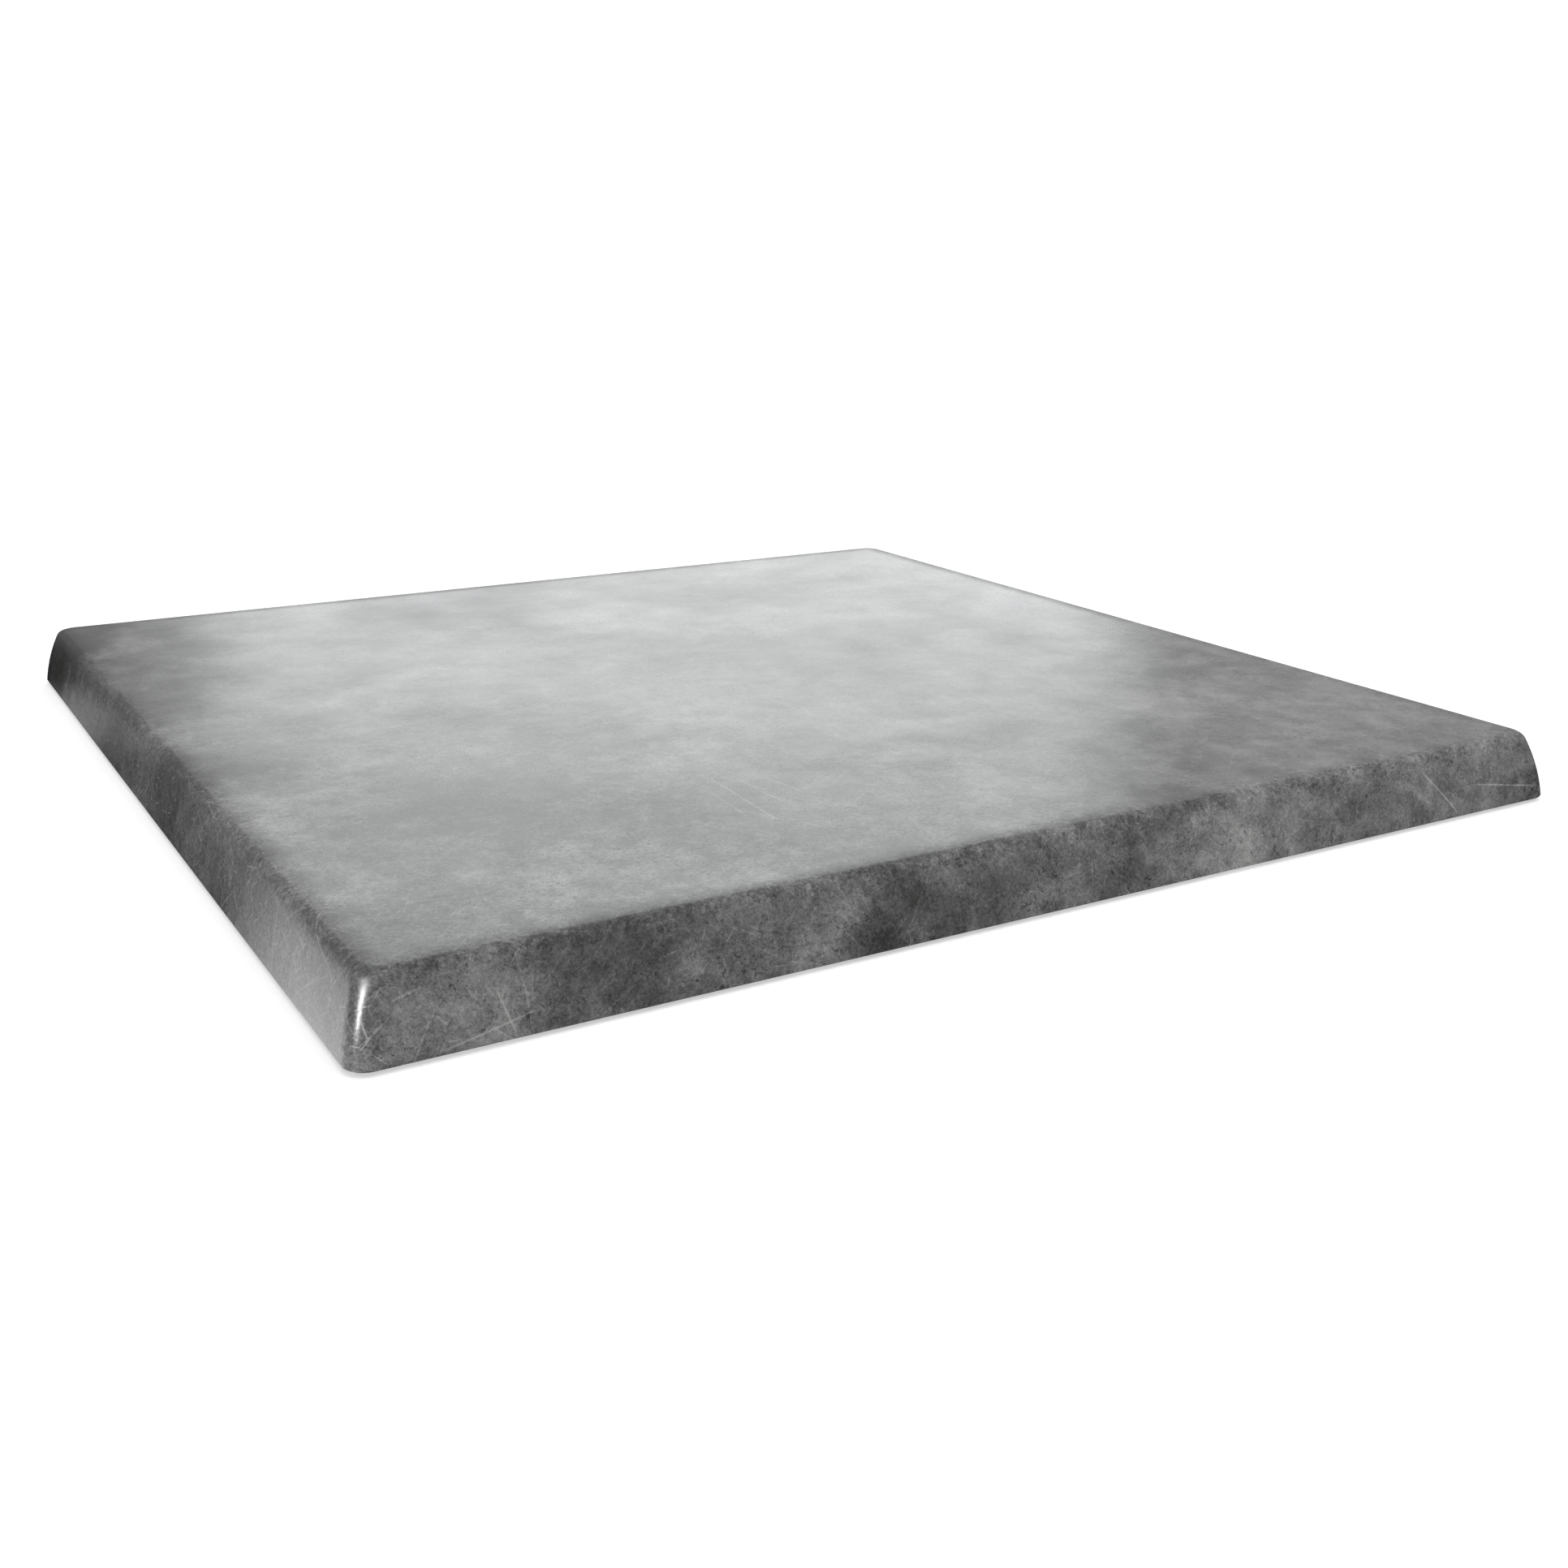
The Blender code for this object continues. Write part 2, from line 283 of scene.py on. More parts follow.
lip_points = [(-run, z) for run, z in step_points(LIP_Z, FIELD_Z, LIP_DRAFT, LIP_ROLL, ROOT_ROLL)]
seat_points = step_points(SEAT_Z, FIELD_Z, SEAT_DRAFT, SEAT_ROLL, SEAT_ROLL)[::-1]
seat_run = seat_points[0][0]
print("field", round((LIP_HALF + lip_points[-1][0]) * 2 / MM), "mm wide, seat",
      round(SEAT_HALF * 2 / MM), "mm wide")

# %% Press the backing film
def inset_along(points, facing):
    """Narrow the selected face step by step along a section; facing is +1 up or -1 down."""
    for (run, z), (next_run, next_z) in zip(points, points[1:]):
        bpy.ops.mesh.inset(
            thickness=run - next_run, depth=facing * (next_z - z), use_individual=True
        )


film_skin = rounded_square("backing_film_skin", LIP_HALF + FILM_LAP, INNER_CORNER + FILM_LAP, LIP_Z)
bpy.ops.mesh.flip_normals()
inset_along([(FILM_LAP, LIP_Z), (0.0, LIP_Z)] + lip_points[1:], -1)
field_run = lip_points[-1][0]
inset_along([(field_run, FIELD_Z), (field_run - FLAT_BAND, FIELD_Z)], -1)
bpy.ops.mesh.delete(type="ONLY_FACE")

seat_skin = rounded_square(
    "seat_skin", SEAT_HALF + seat_run + FLAT_BAND, SEAT_CORNER + seat_run + FLAT_BAND, FIELD_Z
)
bpy.ops.mesh.flip_normals()
inset_along([(seat_run + FLAT_BAND, FIELD_Z), (seat_run, FIELD_Z)] + seat_points[1:], -1)
inset_along([(0.0, SEAT_Z), (-FLAT_BAND, SEAT_Z)], -1)

make_active(film_skin)
seat_skin.select_set(True)
bpy.ops.object.join()
bpy.ops.object.mode_set(mode="EDIT")
pick_edges(
    film_skin,
    lambda edge: edge.is_boundary
    and all(abs(v.co.z - FIELD_Z) < SAME_HEIGHT for v in edge.verts),
)
bpy.ops.mesh.bridge_edge_loops()
face_outwards()
film_mesh = bmesh.from_edit_mesh(film_skin.data)
if max(film_mesh.faces, key=lambda face: face.calc_area()).normal.z > 0:
    bpy.ops.mesh.flip_normals()
add_modifier(film_skin, "SOLIDIFY", thickness=FILM_THICKNESS, offset=-1.0, use_even_offset=True)

# %% [markdown]
# ## Holes for the sockets
# In the factory the film is cut with the bores, so its four holes are round and sharp. A
# Boolean with four short cylinders does the same here; picking faces would leave the seat's
# large face full of needless edges.

# %% Cut the film's holes
FLANGE_RADIUS = 8 * MM
HOLE_GAP = 0.3 * MM
PUNCH_DEPTH = 4 * MM
TURN_STEPS = 48
insert_centres = {}
for corner in CORNERS:
    low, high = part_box("threaded_insert_" + corner)
    insert_centres[corner] = ((low.x + high.x) / 2, (low.y + high.y) / 2)
for x, y in insert_centres.values():
    to_object_mode()
    bpy.ops.mesh.primitive_cylinder_add(
        vertices=TURN_STEPS, radius=FLANGE_RADIUS + HOLE_GAP, depth=PUNCH_DEPTH,
        location=(x, y, SEAT_Z),
    )
    punch = bpy.context.active_object
    add_modifier(film_skin, "BOOLEAN", operation="DIFFERENCE", solver="EXACT", object=punch)
    bpy.data.objects.remove(punch)
finish_piece(film_skin, ["backing_film"])

# %% [markdown]
# ## Turned fittings
# Sockets and pads are round, so they grow from a disc in the same way, ring by ring, as a turner
# reads a drawing. One of each is made on the Z axis and copied to its four places.


# %% Discs and copies
def turned_disc(name, radius, z):
    """Flat disc on the Z axis, in edit mode with its face selected."""
    to_object_mode()
    bpy.ops.mesh.primitive_circle_add(
        vertices=TURN_STEPS, radius=radius, fill_type="NGON", location=(0, 0, z)
    )
    piece = bpy.context.active_object
    piece.name = name
    piece.data.name = name
    place_in_mesh(piece)
    bpy.ops.object.mode_set(mode="EDIT")
    pick_faces(piece, lambda face: True)
    return piece


def copies_at(model, names_and_places):
    """Copies of a finished model, each with its own mesh and its place in it."""
    to_object_mode()
    check = bmesh.new()
    check.from_mesh(model.data)
    print(model.name, "open edges:", sum(not edge.is_manifold for edge in check.edges),
          "volume in mm3:", round(check.calc_volume(signed=True) / MM ** 3))
    check.free()
    made = []
    for name, (x, y) in names_and_places.items():
        copy = model.copy()
        copy.data = model.data.copy()
        copy.name = name
        copy.data.name = name
        bpy.context.scene.collection.objects.link(copy)
        copy.location = (x, y, 0)
        place_in_mesh(copy)
        made.append(copy)
    bpy.data.objects.remove(model)
    return made


# %% [markdown]
# ## Brass sockets
# The real sockets are turned brass, pressed into blind bores: a thin flange stops against the
# board, barbs on the barrel hold it, and an M8 thread takes the base's screw. The thread is cut
# as a real helix: a small triangle swept by the Screw modifier and taken out of the wall by a
# Boolean. A bump pattern would be cheaper, but the thread is what the eye finds in the bore.
# The Boolean leaves slivers along the helix, so points closer than a few micrometres are merged.

# %% Turn one socket and copy it
insert_low, insert_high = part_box("threaded_insert_front_left")
FOOT_Z = insert_low.z
TIP_Z = insert_high.z
FLANGE_TOP = FOOT_Z + 1.2 * MM
BARREL = 6 * MM
ROOT_RADIUS = 5.4 * MM
BORE = 3.4 * MM
EDGE_BREAK = 0.15 * MM
LEAD_IN = 0.6 * MM
BARB_PITCH = 2.6 * MM
BARB_BACK = 0.4 * MM  # height of a barb's steep side
PLAIN_TIP = 1 * MM  # no barb starts nearer to the tip than this and its own pitch
THREAD_PITCH = 1.25 * MM
THREAD_DEPTH = 0.6 * MM
SLIVER = 0.003 * MM

first_z = FOOT_Z + EDGE_BREAK
socket = turned_disc("socket_model", FLANGE_RADIUS, first_z)
barrel_profile = [
    (FLANGE_RADIUS, first_z),
    (FLANGE_RADIUS, FLANGE_TOP - EDGE_BREAK),
    (FLANGE_RADIUS - EDGE_BREAK, FLANGE_TOP),
    (ROOT_RADIUS, FLANGE_TOP),
]
barb_z = FLANGE_TOP
while barb_z + BARB_PITCH < TIP_Z - PLAIN_TIP:
    barb_z += BARB_PITCH
    barrel_profile += [(BARREL, barb_z - BARB_PITCH + BARB_BACK), (ROOT_RADIUS, barb_z)]
barrel_profile += [
    (ROOT_RADIUS, TIP_Z - EDGE_BREAK),
    (ROOT_RADIUS - EDGE_BREAK, TIP_Z),
    (BORE, TIP_Z),
]
grow(barrel_profile)
bpy.ops.mesh.delete(type="ONLY_FACE")
pick_faces(socket, lambda face: max(v.co.z for v in face.verts) < first_z + SAME_HEIGHT)
grow([
    (FLANGE_RADIUS, first_z),
    (FLANGE_RADIUS - EDGE_BREAK, FOOT_Z),
    (BORE + LEAD_IN, FOOT_Z),
    (BORE, FOOT_Z + LEAD_IN),
])
bpy.ops.mesh.delete(type="ONLY_FACE")
pick_edges(socket, lambda edge: edge.is_boundary)
bpy.ops.mesh.bridge_edge_loops()
face_outwards()

to_object_mode()
bpy.ops.mesh.primitive_circle_add(vertices=3, radius=THREAD_DEPTH, fill_type="NOTHING")
thread = bpy.context.active_object
bpy.ops.object.mode_set(mode="EDIT")
bpy.ops.mesh.select_all(action="SELECT")
bpy.ops.transform.rotate(value=pi / 2, orient_axis="X", center_override=(0, 0, 0))
bpy.ops.transform.rotate(value=pi / 2, orient_axis="Y", center_override=(0, 0, 0))
bpy.ops.transform.translate(value=(BORE, 0, FOOT_Z - THREAD_PITCH))
turns = int((TIP_Z - FOOT_Z) / THREAD_PITCH) + 3
print("thread of", turns, "turns, pitch", THREAD_PITCH / MM, "mm")
add_modifier(
    thread, "SCREW", axis="Z", angle=2 * pi, screw_offset=THREAD_PITCH, iterations=turns,
    steps=TURN_STEPS, render_steps=TURN_STEPS, use_smooth_shade=False,
)
bpy.ops.object.mode_set(mode="EDIT")
bpy.ops.mesh.select_mode(type="EDGE")
bpy.ops.mesh.select_all(action="DESELECT")
bpy.ops.mesh.select_non_manifold()
bpy.ops.mesh.fill()
face_outwards()
to_object_mode()
add_modifier(socket, "BOOLEAN", operation="DIFFERENCE", solver="EXACT", object=thread)
bpy.data.objects.remove(thread)
bpy.ops.object.mode_set(mode="EDIT")
bpy.ops.mesh.select_all(action="SELECT")
bpy.ops.mesh.remove_doubles(threshold=SLIVER)
bpy.ops.mesh.dissolve_degenerate(threshold=SLIVER)
bpy.ops.mesh.quads_convert_to_tris(quad_method="BEAUTY", ngon_method="BEAUTY")
bpy.ops.mesh.dissolve_degenerate(threshold=SLIVER)
sockets = copies_at(
    socket, {"brass_socket_" + name: place for name, place in insert_centres.items()}
)
for piece, corner in zip(sockets, insert_centres):
    finish_piece(piece, ["threaded_insert_" + corner], 30.0)

# %% [markdown]
# ## Stacking pads
# The pads are moulded elastomer buttons, seated in the lip. Each has a softened foot and a
# shallow ring, which the mould leaves so that the pad grips and doesn't suck to a wet table.

# %% Mould one pad and copy it
pad_low, pad_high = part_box("stacking_pad_front_left")
pad_centres = {}
for corner in CORNERS:
    low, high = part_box("stacking_pad_" + corner)
    pad_centres[corner] = ((low.x + high.x) / 2, (low.y + high.y) / 2)
PAD_RADIUS = (pad_high.x - pad_low.x) / 2
PAD_EDGE = 0.4 * MM
RING_OUTER = 5.4 * MM
RING_INNER = 4.2 * MM
RING_DEPTH = 0.35 * MM
RING_SLOPE = 0.2 * MM
pad = turned_disc("pad_model", PAD_RADIUS, pad_high.z)
foot_roll = [
    (PAD_RADIUS - PAD_EDGE + PAD_EDGE * cos(tilt), PAD_EDGE - PAD_EDGE * sin(tilt))
    for tilt in (radians(angle) for angle in (0, 30, 60, 90))
]
grow(
    [(PAD_RADIUS, pad_high.z)] + foot_roll + [
        (RING_OUTER, 0.0),
        (RING_OUTER - RING_SLOPE, RING_DEPTH),
        (RING_INNER + RING_SLOPE, RING_DEPTH),
        (RING_INNER, 0.0),
        (RING_INNER / 2, 0.0),
    ]
)
face_outwards()
pads = copies_at(pad, {"elastomer_pad_" + name: place for name, place in pad_centres.items()})
for piece, corner in zip(pads, pad_centres):
    finish_piece(piece, ["stacking_pad_" + corner])

# %% [markdown]
# ## Materials
# Every finish is built from noise and cells on the object's own coordinates, in millimetres,
# so that the same board looks the same wherever it lies. Colours are written as hex values,
# as a colour card gives them, and turned to linear light by one function.


# %% Colour and node helpers
SMOOTH = {"interpolation_type": "SMOOTHSTEP"}  # a Map Range that eases in and out


def linear(hex_colour):
    """Linear RGBA of an sRGB hex colour, by the sRGB standard's own curve."""
    channels = [int(hex_colour[i:i + 2], 16) / 255 for i in (1, 3, 5)]
    return [c / 12.92 if c <= 0.04045 else ((c + 0.055) / 1.055) ** 2.4 for c in channels] + [1.0]


def add_node(tree, kind, settings=None, **inputs):
    """Add a shader node. Its settings may be just the name of an operation. An input is a
    value, or a node or socket to link; _2 is the third."""
    node = tree.nodes.new("ShaderNode" + kind)
    if isinstance(settings, str):
        settings = {"operation": settings}
    for name, value in (settings or {}).items():
        setattr(node, name, value)
    for name, value in inputs.items():
        socket = node.inputs[int(name[1:]) if name[0] == "_" else name.replace("_", " ")]
        if isinstance(value, bpy.types.Node):
            value = next(output for output in value.outputs if output.enabled)
        if isinstance(value, bpy.types.NodeSocket):
            tree.links.new(value, socket)
        else:
            socket.default_value = value
    return node


def new_material(name, roughness, metallic=0.0):
    """Empty Principled material, its shader, and its object coordinates in millimetres."""
    material = bpy.data.materials.new(name)
    material.use_nodes = True
    tree = material.node_tree
    shader = tree.nodes["Principled BSDF"]
    shader.inputs["Roughness"].default_value = roughness
    shader.inputs["Metallic"].default_value = metallic
    place = add_node(tree, "TexCoord")
    mm = add_node(tree, "VectorMath", "SCALE", _0=place.outputs["Object"], Scale=1 / MM)
    return material, tree, shader, mm.outputs[0]


def set_ramp(ramp_node, stops):
    """Give a colour ramp its stops, as (position, hex colour)."""
    elements = ramp_node.color_ramp.elements
    while len(elements) < len(stops):
        elements.new(0.5)
    for element, (position, colour) in zip(elements, stops):
        element.position = position
        element.color = linear(colour)


def connect(tree, shader, colour, roughness, relief):
    """Link the sockets that give a finish its colour, its roughness and its relief."""
    for name, socket in (("Base Color", colour), ("Roughness", roughness), ("Normal", relief)):
        tree.links.new(socket, shader.inputs[name])


def paint(piece, material):
    """Give a piece one material on all its slots."""
    if not piece.material_slots:
        piece.data.materials.append(material)
    for material_slot in piece.material_slots:
        material_slot.material = material
    print(piece.name, "has the finish", material.name)


# %% [markdown]
# ### Stone decor: hot-pressed melamine over a printed sheet
# The print shows cloudy stone with darker mottling and a fine, wormy grain, drawn as noises of
# five sizes. One noise alone would look like smoke. The print is bolder near the front left
# corner and calmer over the rest of the worktop and on the left side, so the layers are scaled
# by where they lie. Masks come from the coordinates: "outward" is the distance from the middle,
# as a square has it.

# %% Where each part of the surface lies
FRONT_CORNER = (-300, -300, 30)  # in mm, as are the next three
BOLD_FADES = (190.0, 380.0)
SIDES_BEGIN = (284.0, 289.0)
LEFT_BEGINS = (-285.0, -292.0)
RESIN_IOR = 1.5

stone, tree, shader, mm = new_material("hot_pressed_melamine_stone", 0.3)
shader.inputs["IOR"].default_value = RESIN_IOR

parts_of = add_node(tree, "SeparateXYZ", Vector=mm)
from_x = add_node(tree, "Math", "ABSOLUTE", _0=parts_of.outputs["X"])
from_y = add_node(tree, "Math", "ABSOLUTE", _0=parts_of.outputs["Y"])
outward = add_node(tree, "Math", "MAXIMUM", _0=from_x, _1=from_y)
sum_out = add_node(tree, "Math", "ADD", _0=from_x, _1=from_y)
from_front = add_node(tree, "VectorMath", "DISTANCE", _0=mm, _1=FRONT_CORNER)
from_front = from_front.outputs["Value"]
bold_front = add_node(tree, "MapRange", Value=from_front, _1=BOLD_FADES[0], _2=BOLD_FADES[1],
                      _3=1.1, _4=0.62)
bold_top = add_node(tree, "MapRange", Value=outward, _1=SIDES_BEGIN[0], _2=SIDES_BEGIN[1],
                    _3=bold_front, _4=1.0)
on_left = add_node(tree, "MapRange", Value=parts_of.outputs["X"], _1=LEFT_BEGINS[0],
                   _2=LEFT_BEGINS[1])
print("masks for the front corner, the sides and the left side:", len(tree.nodes), "nodes")

# %% Clouds, mottling and grain
STONE_CLOUDS = [  # size in mm, detail, roughness, distortion, share of the tone, part on the left
    (120.0, 1.5, 0.50, 0.3, 0.22, 0.40),
    (36.0, 3.0, 0.58, 0.4, 0.22, 0.35),
]
STONE_GRAIN = [
    (15.0, 1.8, 0.60, 0.3, 0.25, 0.45),
    (3.6, 5.0, 0.72, 0.9, 0.24, 0.90),
    (1.1, 4.0, 0.75, 1.0, 0.42, 1.50),
]
tone = 0.47  # the print's middle tone; every layer adds to it or takes from it
for size, detail, rough, distortion, share, left_part in STONE_CLOUDS + STONE_GRAIN:
    calm = add_node(tree, "MapRange", Value=on_left, _3=1.0, _4=left_part)
    is_cloud = size > STONE_GRAIN[0][0]
    contrast = add_node(tree, "Math", "MULTIPLY", _0=1.0 if is_cloud else bold_top, _1=calm)
    grain = add_node(tree, "TexNoise", Vector=mm, Scale=1.0 / size, Detail=detail, Roughness=rough,
                     Distortion=distortion)
    eased = add_node(tree, "MapRange", SMOOTH, Value=grain, _1=0.27,
                     _2=0.73, _3=-share / 2, _4=share / 2)
    tone = add_node(tree, "Math", "MULTIPLY_ADD", _0=eased, _1=contrast, _2=tone)
finest_grain = grain  # the last layer of the list, used again for the relief
print("layers of print:", [layer[0] for layer in STONE_CLOUDS + STONE_GRAIN], "mm")

# %% [markdown]
# Blots darken or lighten single places, as the print does along this board's sides. Five of them
# are painted shade instead. They darken the worktop's left edge, where the window's mirrored sheen
# ends, and the back end of the left side, which mirrors dark surroundings. Their rims wander,
# because the coordinates that they measure from are shaken by a noise.

# %% Blots of the print, and painted shade along the left edge
PRINT_BLOTS_AND_PAINTED_SHADE = [  # centre in mm, radius in mm, change of the tone
    ((-268, -304, 6), 42, 0.06),
    ((-198, -304, 28), 36, -0.17),
    ((-140, -304, 16), 36, -0.17),
    ((-82, -304, 14), 42, -0.17),
    ((-30, -304, 20), 38, -0.10),
    ((24, -304, 34), 44, -0.16),
    ((66, -300, 42), 42, -0.26),
    ((96, -304, 12), 34, 0.16),
    ((158, -304, 14), 40, -0.10),
    ((188, -304, 16), 36, -0.22),
    ((286, -304, 20), 42, -0.24),
    # painted shade: the next five darken the back end of the left side and the worktop's left edge,
    # where the window's sheen ends
    ((-304, 272, 30), 62, -0.55),
    ((-304, 225, 46), 48, -0.70),
    ((-304, 178, 52), 46, -0.35),
    ((-296, 85, 58), 75, -0.24),
    ((-280, -40, 66), 88, -0.42),
    ((-130, -195, 34), 75, -0.16),
    ((-205, -150, 45), 100, -0.28),
    ((-282, -282, 62), 75, -0.26),
    ((-40, -40, 34), 95, 0.12),
    ((-235, 120, 34), 90, -0.12),
    ((-62, 248, 34), 95, -0.55),
    ((228, -222, 44), 115, 0.17),
]
WANDER = 25  # how far a rim wanders either way, in mm
BLOT_CORE = 0.15  # part of the radius that is at full strength
wander = add_node(tree, "TexNoise", Vector=mm, Scale=1 / 22.0, Detail=4.0, Roughness=0.6)
wander = add_node(tree, "VectorMath", "MULTIPLY_ADD", _0=wander.outputs["Color"],
                  _1=(2 * WANDER,) * 3, _2=mm)
wander = add_node(tree, "VectorMath", "SUBTRACT", _0=wander, _1=(WANDER,) * 3)
for centre, radius, change in PRINT_BLOTS_AND_PAINTED_SHADE:
    away = add_node(tree, "VectorMath", "DISTANCE", _0=wander, _1=centre)
    inside = add_node(tree, "MapRange", SMOOTH,
                      Value=away.outputs["Value"], _1=radius, _2=BLOT_CORE * radius, _3=0.0,
                      _4=change)
    tone = add_node(tree, "Math", "ADD", _0=inside, _1=tone)
print("blots:", len(PRINT_BLOTS_AND_PAINTED_SHADE))

# %% [markdown]
# ### Specks
# Dark specks sit in clusters, as sand does in concrete: one fine noise is cut off hard, and a
# coarse one decides where it shows. One noise alone would spread them as evenly as pepper.

# %% Specks
SPECK_SIZE = 2.1
CLUSTER_SIZE = 21.0
SPECK_DARKNESS = 0.42
speck_noise = add_node(tree, "TexNoise", Vector=mm, Scale=1 / SPECK_SIZE, Detail=4.0,
                       Roughness=0.75, Distortion=0.8)
speck_place = add_node(tree, "TexNoise", Vector=mm, Scale=1 / CLUSTER_SIZE, Detail=4.0,
                       Roughness=0.6)
specks = add_node(tree, "MapRange", SMOOTH, Value=speck_noise, _1=0.55, _2=0.64)
cluster = add_node(tree, "MapRange", SMOOTH, Value=speck_place, _1=0.42, _2=0.58, _3=0.0,
                   _4=-SPECK_DARKNESS)
cluster = add_node(tree, "Math", "MULTIPLY", _0=cluster, _1=bold_top)
few_on_left = add_node(tree, "MapRange", Value=on_left, _3=1.0, _4=0.5)
cluster = add_node(tree, "Math", "MULTIPLY", _0=cluster, _1=few_on_left)
tone = add_node(tree, "Math", "MULTIPLY_ADD", _0=specks, _1=cluster, _2=tone)
print("specks of", SPECK_SIZE, "mm in clusters of", CLUSTER_SIZE, "mm")

# %% [markdown]
# ### Hairlines
# Hairlines are fine scratches in the melamine. Each Voronoi cell has its own random colour,
# which is read here as the direction of a plane through the cell's centre, and the surface
# close to that plane is the line. A plane that lies almost in the surface would draw a patch,
# so it is left out. The real hairs are about 0.1 mm wide; they are drawn four to six times as
# wide, so that they show.

# %% Hairlines
LINE_CORE = 0.3  # part of a line's half width that is at full strength
HAIR_LAYERS = [  # cell in mm, half width in mm, bend in mm, strength
    (7.0, 0.30, 2.0, 0.18),
    (17.0, 0.34, 5.0, 0.14),
    (38.0, 0.38, 9.0, 0.13),
    (66.0, 0.42, 14.0, 0.15),
]
hairs = 0.0
bend_noise = add_node(tree, "TexNoise", Vector=mm, Scale=1 / 45.0, Detail=1.0)
facing = add_node(tree, "TexCoord").outputs["Normal"]
for cell, width, bend, strength in HAIR_LAYERS:
    bent = add_node(tree, "VectorMath", "MULTIPLY_ADD",
                    _0=bend_noise.outputs["Color"], _1=(bend, bend, bend), _2=mm)
    cells = add_node(tree, "TexVoronoi", Vector=bent, Scale=1.0 / cell)
    turned = add_node(tree, "VectorMath", "SUBTRACT", _0=cells.outputs["Color"], _1=(0.5, 0.5, 0.5))
    across = add_node(tree, "VectorMath", "NORMALIZE", _0=turned)
    offset = add_node(tree, "VectorMath", "SUBTRACT", _0=bent, _1=cells.outputs["Position"])
    depth = add_node(tree, "VectorMath", "DOT_PRODUCT", _0=offset, _1=across)
    depth = add_node(tree, "Math", "ABSOLUTE", _0=depth.outputs["Value"])
    line = add_node(tree, "MapRange", Value=depth, _1=width, _2=LINE_CORE * width, _3=0.0,
                    _4=strength)
    fade = add_node(tree, "MapRange", SMOOTH, Value=cells.outputs["Distance"], _1=0.6, _2=0.25)
    lies_flat = add_node(tree, "VectorMath", "DOT_PRODUCT", _0=across, _1=facing)
    lies_flat = add_node(tree, "Math", "ABSOLUTE", _0=lies_flat.outputs["Value"])
    is_line = add_node(tree, "MapRange", Value=lies_flat, _1=0.85, _2=0.6)
    fade = add_node(tree, "Math", "MULTIPLY", _0=fade, _1=is_line)
    hairs = add_node(tree, "Math", "MULTIPLY_ADD", _0=line, _1=fade, _2=hairs)
more_in_front = add_node(tree, "MapRange", Value=from_front, _1=60.0, _2=190.0, _3=1.15, _4=0.9)
more_on_left = add_node(tree, "MapRange", Value=on_left, _3=1.0, _4=2.2)
hairs = add_node(tree, "Math", "MULTIPLY", _0=hairs, _1=more_in_front)
hairs = add_node(tree, "Math", "MULTIPLY", _0=hairs, _1=more_on_left)
print("layers of hairlines:", [layer[0] for layer in HAIR_LAYERS], "mm")

# %% [markdown]
# ### Single scratches
# A few longer scratches are put in one by one, each from one point to another. The distance to
# a line between two points draws them. The sides curve away from such a straight line, so the
# depth into the face is made to count for little, and the line stays on the surface.

# %% Single scratches
LINE_WHOLE = 0.6  # part of a scratch's half length before it fades
SCRATCHES = [  # face, from and to in mm, half width in mm, strength
    ("front", (-247, -298, 21), (-241, -298, 2), 0.55, 0.26),
    ("front", (-270, -298, 3), (-229, -298, 11), 0.55, 0.26),
    ("front", (-284, -298, 23), (-270, -298, 26), 0.5, 0.25),
    ("front", (211, -298, 27), (235, -298, 3), 0.6, 0.40),
    ("front", (198, -298, 23), (218, -298, 9), 2.4, 0.16),
    ("front", (242, -298, 16), (293, -298, 8), 0.55, 0.34),
    ("left", (-298, -203, 26), (-298, -208, 3), 0.55, 0.40),
    ("left", (-298, -232, 28), (-298, -229, 3), 0.5, 0.28),
    ("top", (-92, -160, 33.5), (-95, -228, 33.5), 0.7, 0.60),
    ("top", (-82, -166, 33.5), (-81, -204, 33.5), 0.6, 0.50),
    ("top", (-101, -175, 33.5), (-104, -222, 33.5), 0.6, 0.45),
    ("top", (-70, -172, 33.5), (-66, -200, 33.5), 0.6, 0.40),
]
DEPTH_PART = 0.03  # how much the depth counts, so that a line follows a curved side
FLATTEN = {"front": (1, DEPTH_PART, 1), "left": (DEPTH_PART, 1, 1), "top": (1, 1, DEPTH_PART)}
for face_name, start, end, width, strength in SCRATCHES:
    start, end = Vector(start), Vector(end)
    along = (end - start).normalized()
    half = (end - start).length / 2
    offset = add_node(tree, "VectorMath", "SUBTRACT", _0=mm, _1=(start + end) / 2)
    offset = add_node(tree, "VectorMath", "MULTIPLY", _0=offset, _1=FLATTEN[face_name])
    beside = add_node(tree, "VectorMath", "CROSS_PRODUCT", _0=offset, _1=along)
    beside = add_node(tree, "VectorMath", "LENGTH", _0=beside)
    reach = add_node(tree, "VectorMath", "DOT_PRODUCT", _0=offset, _1=along)
    reach = add_node(tree, "Math", "ABSOLUTE", _0=reach.outputs["Value"])
    line = add_node(tree, "MapRange", Value=beside.outputs["Value"], _1=width,
                    _2=LINE_CORE * width, _3=0.0, _4=strength)
    fade = add_node(tree, "MapRange", SMOOTH, Value=reach, _1=half, _2=LINE_WHOLE * half)
    hairs = add_node(tree, "Math", "MULTIPLY_ADD", _0=line, _1=fade, _2=hairs)
tone = add_node(tree, "Math", "ADD", _0=hairs, _1=tone)
print("single scratches:", len(SCRATCHES))

# %% [markdown]
# ### Wear, gloss and relief
# A board that is stacked and wiped wears first on its rolled edge and round its corners: the
# print breaks up there in small pale and dark scuffs, and the rolled edge goes dull, while hands
# rub the corners smoother. The melamine mirrors lights softly and a little unevenly; hands and
# cloths leave broad patches. The relief is only a few hundredths of a millimetre, the press
# plate's own fine texture.

